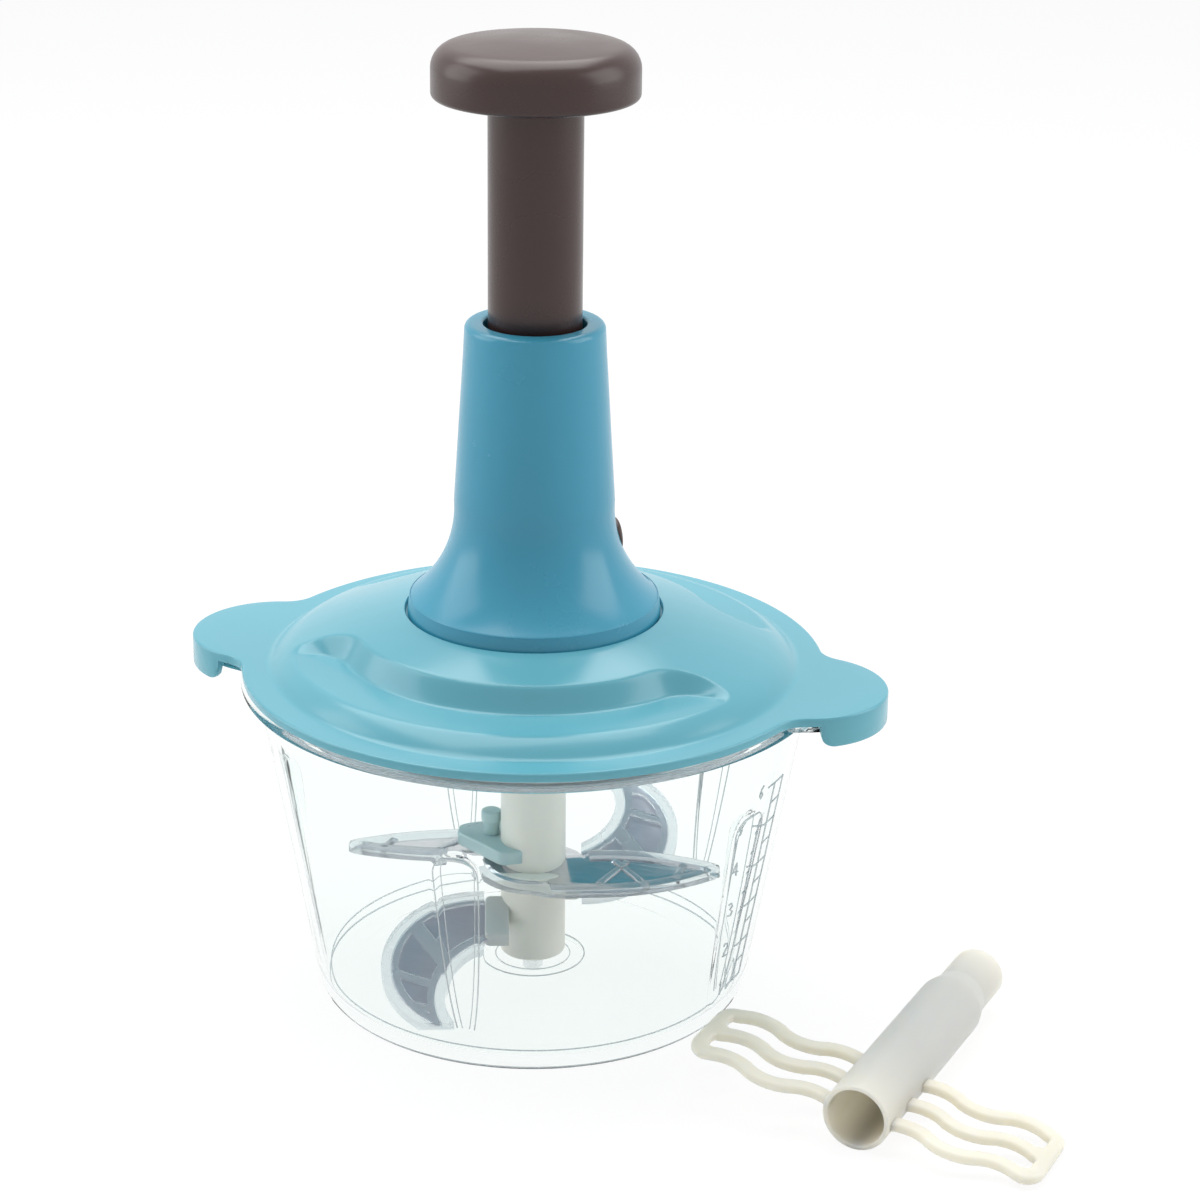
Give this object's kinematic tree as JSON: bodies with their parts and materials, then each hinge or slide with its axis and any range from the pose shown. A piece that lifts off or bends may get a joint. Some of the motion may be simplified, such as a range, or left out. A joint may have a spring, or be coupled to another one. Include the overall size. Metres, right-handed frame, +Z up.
{
  "type": "plunger food chopper",
  "caption": "Hand plunger food chopper: press-down knob and twisted drive spin guarded blades in a clear fluted bowl under a domed lid, with a whisking beater.",
  "frame": {"origin": "centre of the bowl's underside, on the drive axis, at table height", "axes": "+Z up along the drive axis; the lid's ears point along +X and -X; -Y is the front"},
  "size_m": [0.2709, 0.1699, 0.281],
  "materials": {
    "clear_plastic": "clear",
    "guard_plastic": "clear",
    "teal_plastic": "gloss",
    "blue_plastic": "gloss",
    "brown_plastic": "gloss",
    "ivory_plastic": "satin",
    "white_plastic": "satin",
    "pale_plastic": "translucent",
    "blade_steel": "polished",
    "steel": "satin",
    "brass": "satin",
    "silicone": "matte"
  },
  "bodies": {
    "bowl": {"bowl": "clear_plastic", "pivot_pin": "steel"},
    "lid": {"lid": "teal_plastic", "lid_gasket": "silicone", "neck_housing": "blue_plastic", "guide_sleeve": "white_plastic", "mechanism_plate": "white_plastic", "plate_screws": "steel", "spindle_bush": "brass", "lock_spring": "steel"},
    "plunger": {"plunger_knob": "brown_plastic", "plunger_tube": "brown_plastic", "knob_screw": "steel", "drive_nut": "white_plastic", "tube_collar": "white_plastic", "return_spring": "steel"},
    "drive": {"drive_screw": "steel", "clutch_driver": "white_plastic", "clutch_pawls": "brass", "drive_dog": "white_plastic"},
    "blade": {"blade_shaft": "ivory_plastic", "shaft_bush": "brass", "blade_flat": "blade_steel", "blade_bent": "blade_steel", "blade_clamp": "pale_plastic", "guard_flat_right": "guard_plastic", "guard_flat_left": "guard_plastic", "guard_lower": "guard_plastic", "guard_upper": "guard_plastic"},
    "lock_button": {"lock_button": "brown_plastic"},
    "beater": {"beater": "ivory_plastic"}
  },
  "joints": [
    {"name": "lid_lift", "type": "slide", "parent": "bowl", "child": "lid", "axis": [0, 0, 1], "range_m": [0, 0.2]},
    {"name": "plunger_press", "type": "slide", "parent": "lid", "child": "plunger", "axis": [0, 0, -1], "range_m": [0, 0.058], "stiffness_N_per_m": 130, "springref_m": -0.03, "deforming": ["return_spring"]},
    {"name": "drive_spin", "type": "hinge", "parent": "lid", "child": "drive", "pos_m": [0, 0, 0.1], "axis": [0, 0, 1], "range_deg": [0, 700]},
    {"name": "blade_spin", "type": "hinge", "parent": "bowl", "child": "blade", "pos_m": [0, 0, 0.04], "axis": [0, 0, 1], "range_deg": [0, 700]},
    {"name": "lock_press", "type": "slide", "parent": "lid", "child": "lock_button", "axis": [-0.8387, -0.5446, 0], "range_m": [0, 0.0015], "stiffness_N_per_m": 300, "springref_m": -0.003},
    {"name": "beater_lift", "type": "slide", "parent": "bowl", "child": "beater", "axis": [0.6001, -0.36, 0.7144], "range_m": [0, 0.15]}
  ],
  "couplings": [
    {"joint": "drive_spin", "follows": "plunger_press", "rad_per_m": 209.44},
    {"joint": "blade_spin", "follows": "plunger_press", "rad_per_m": 209.44}
  ]
}
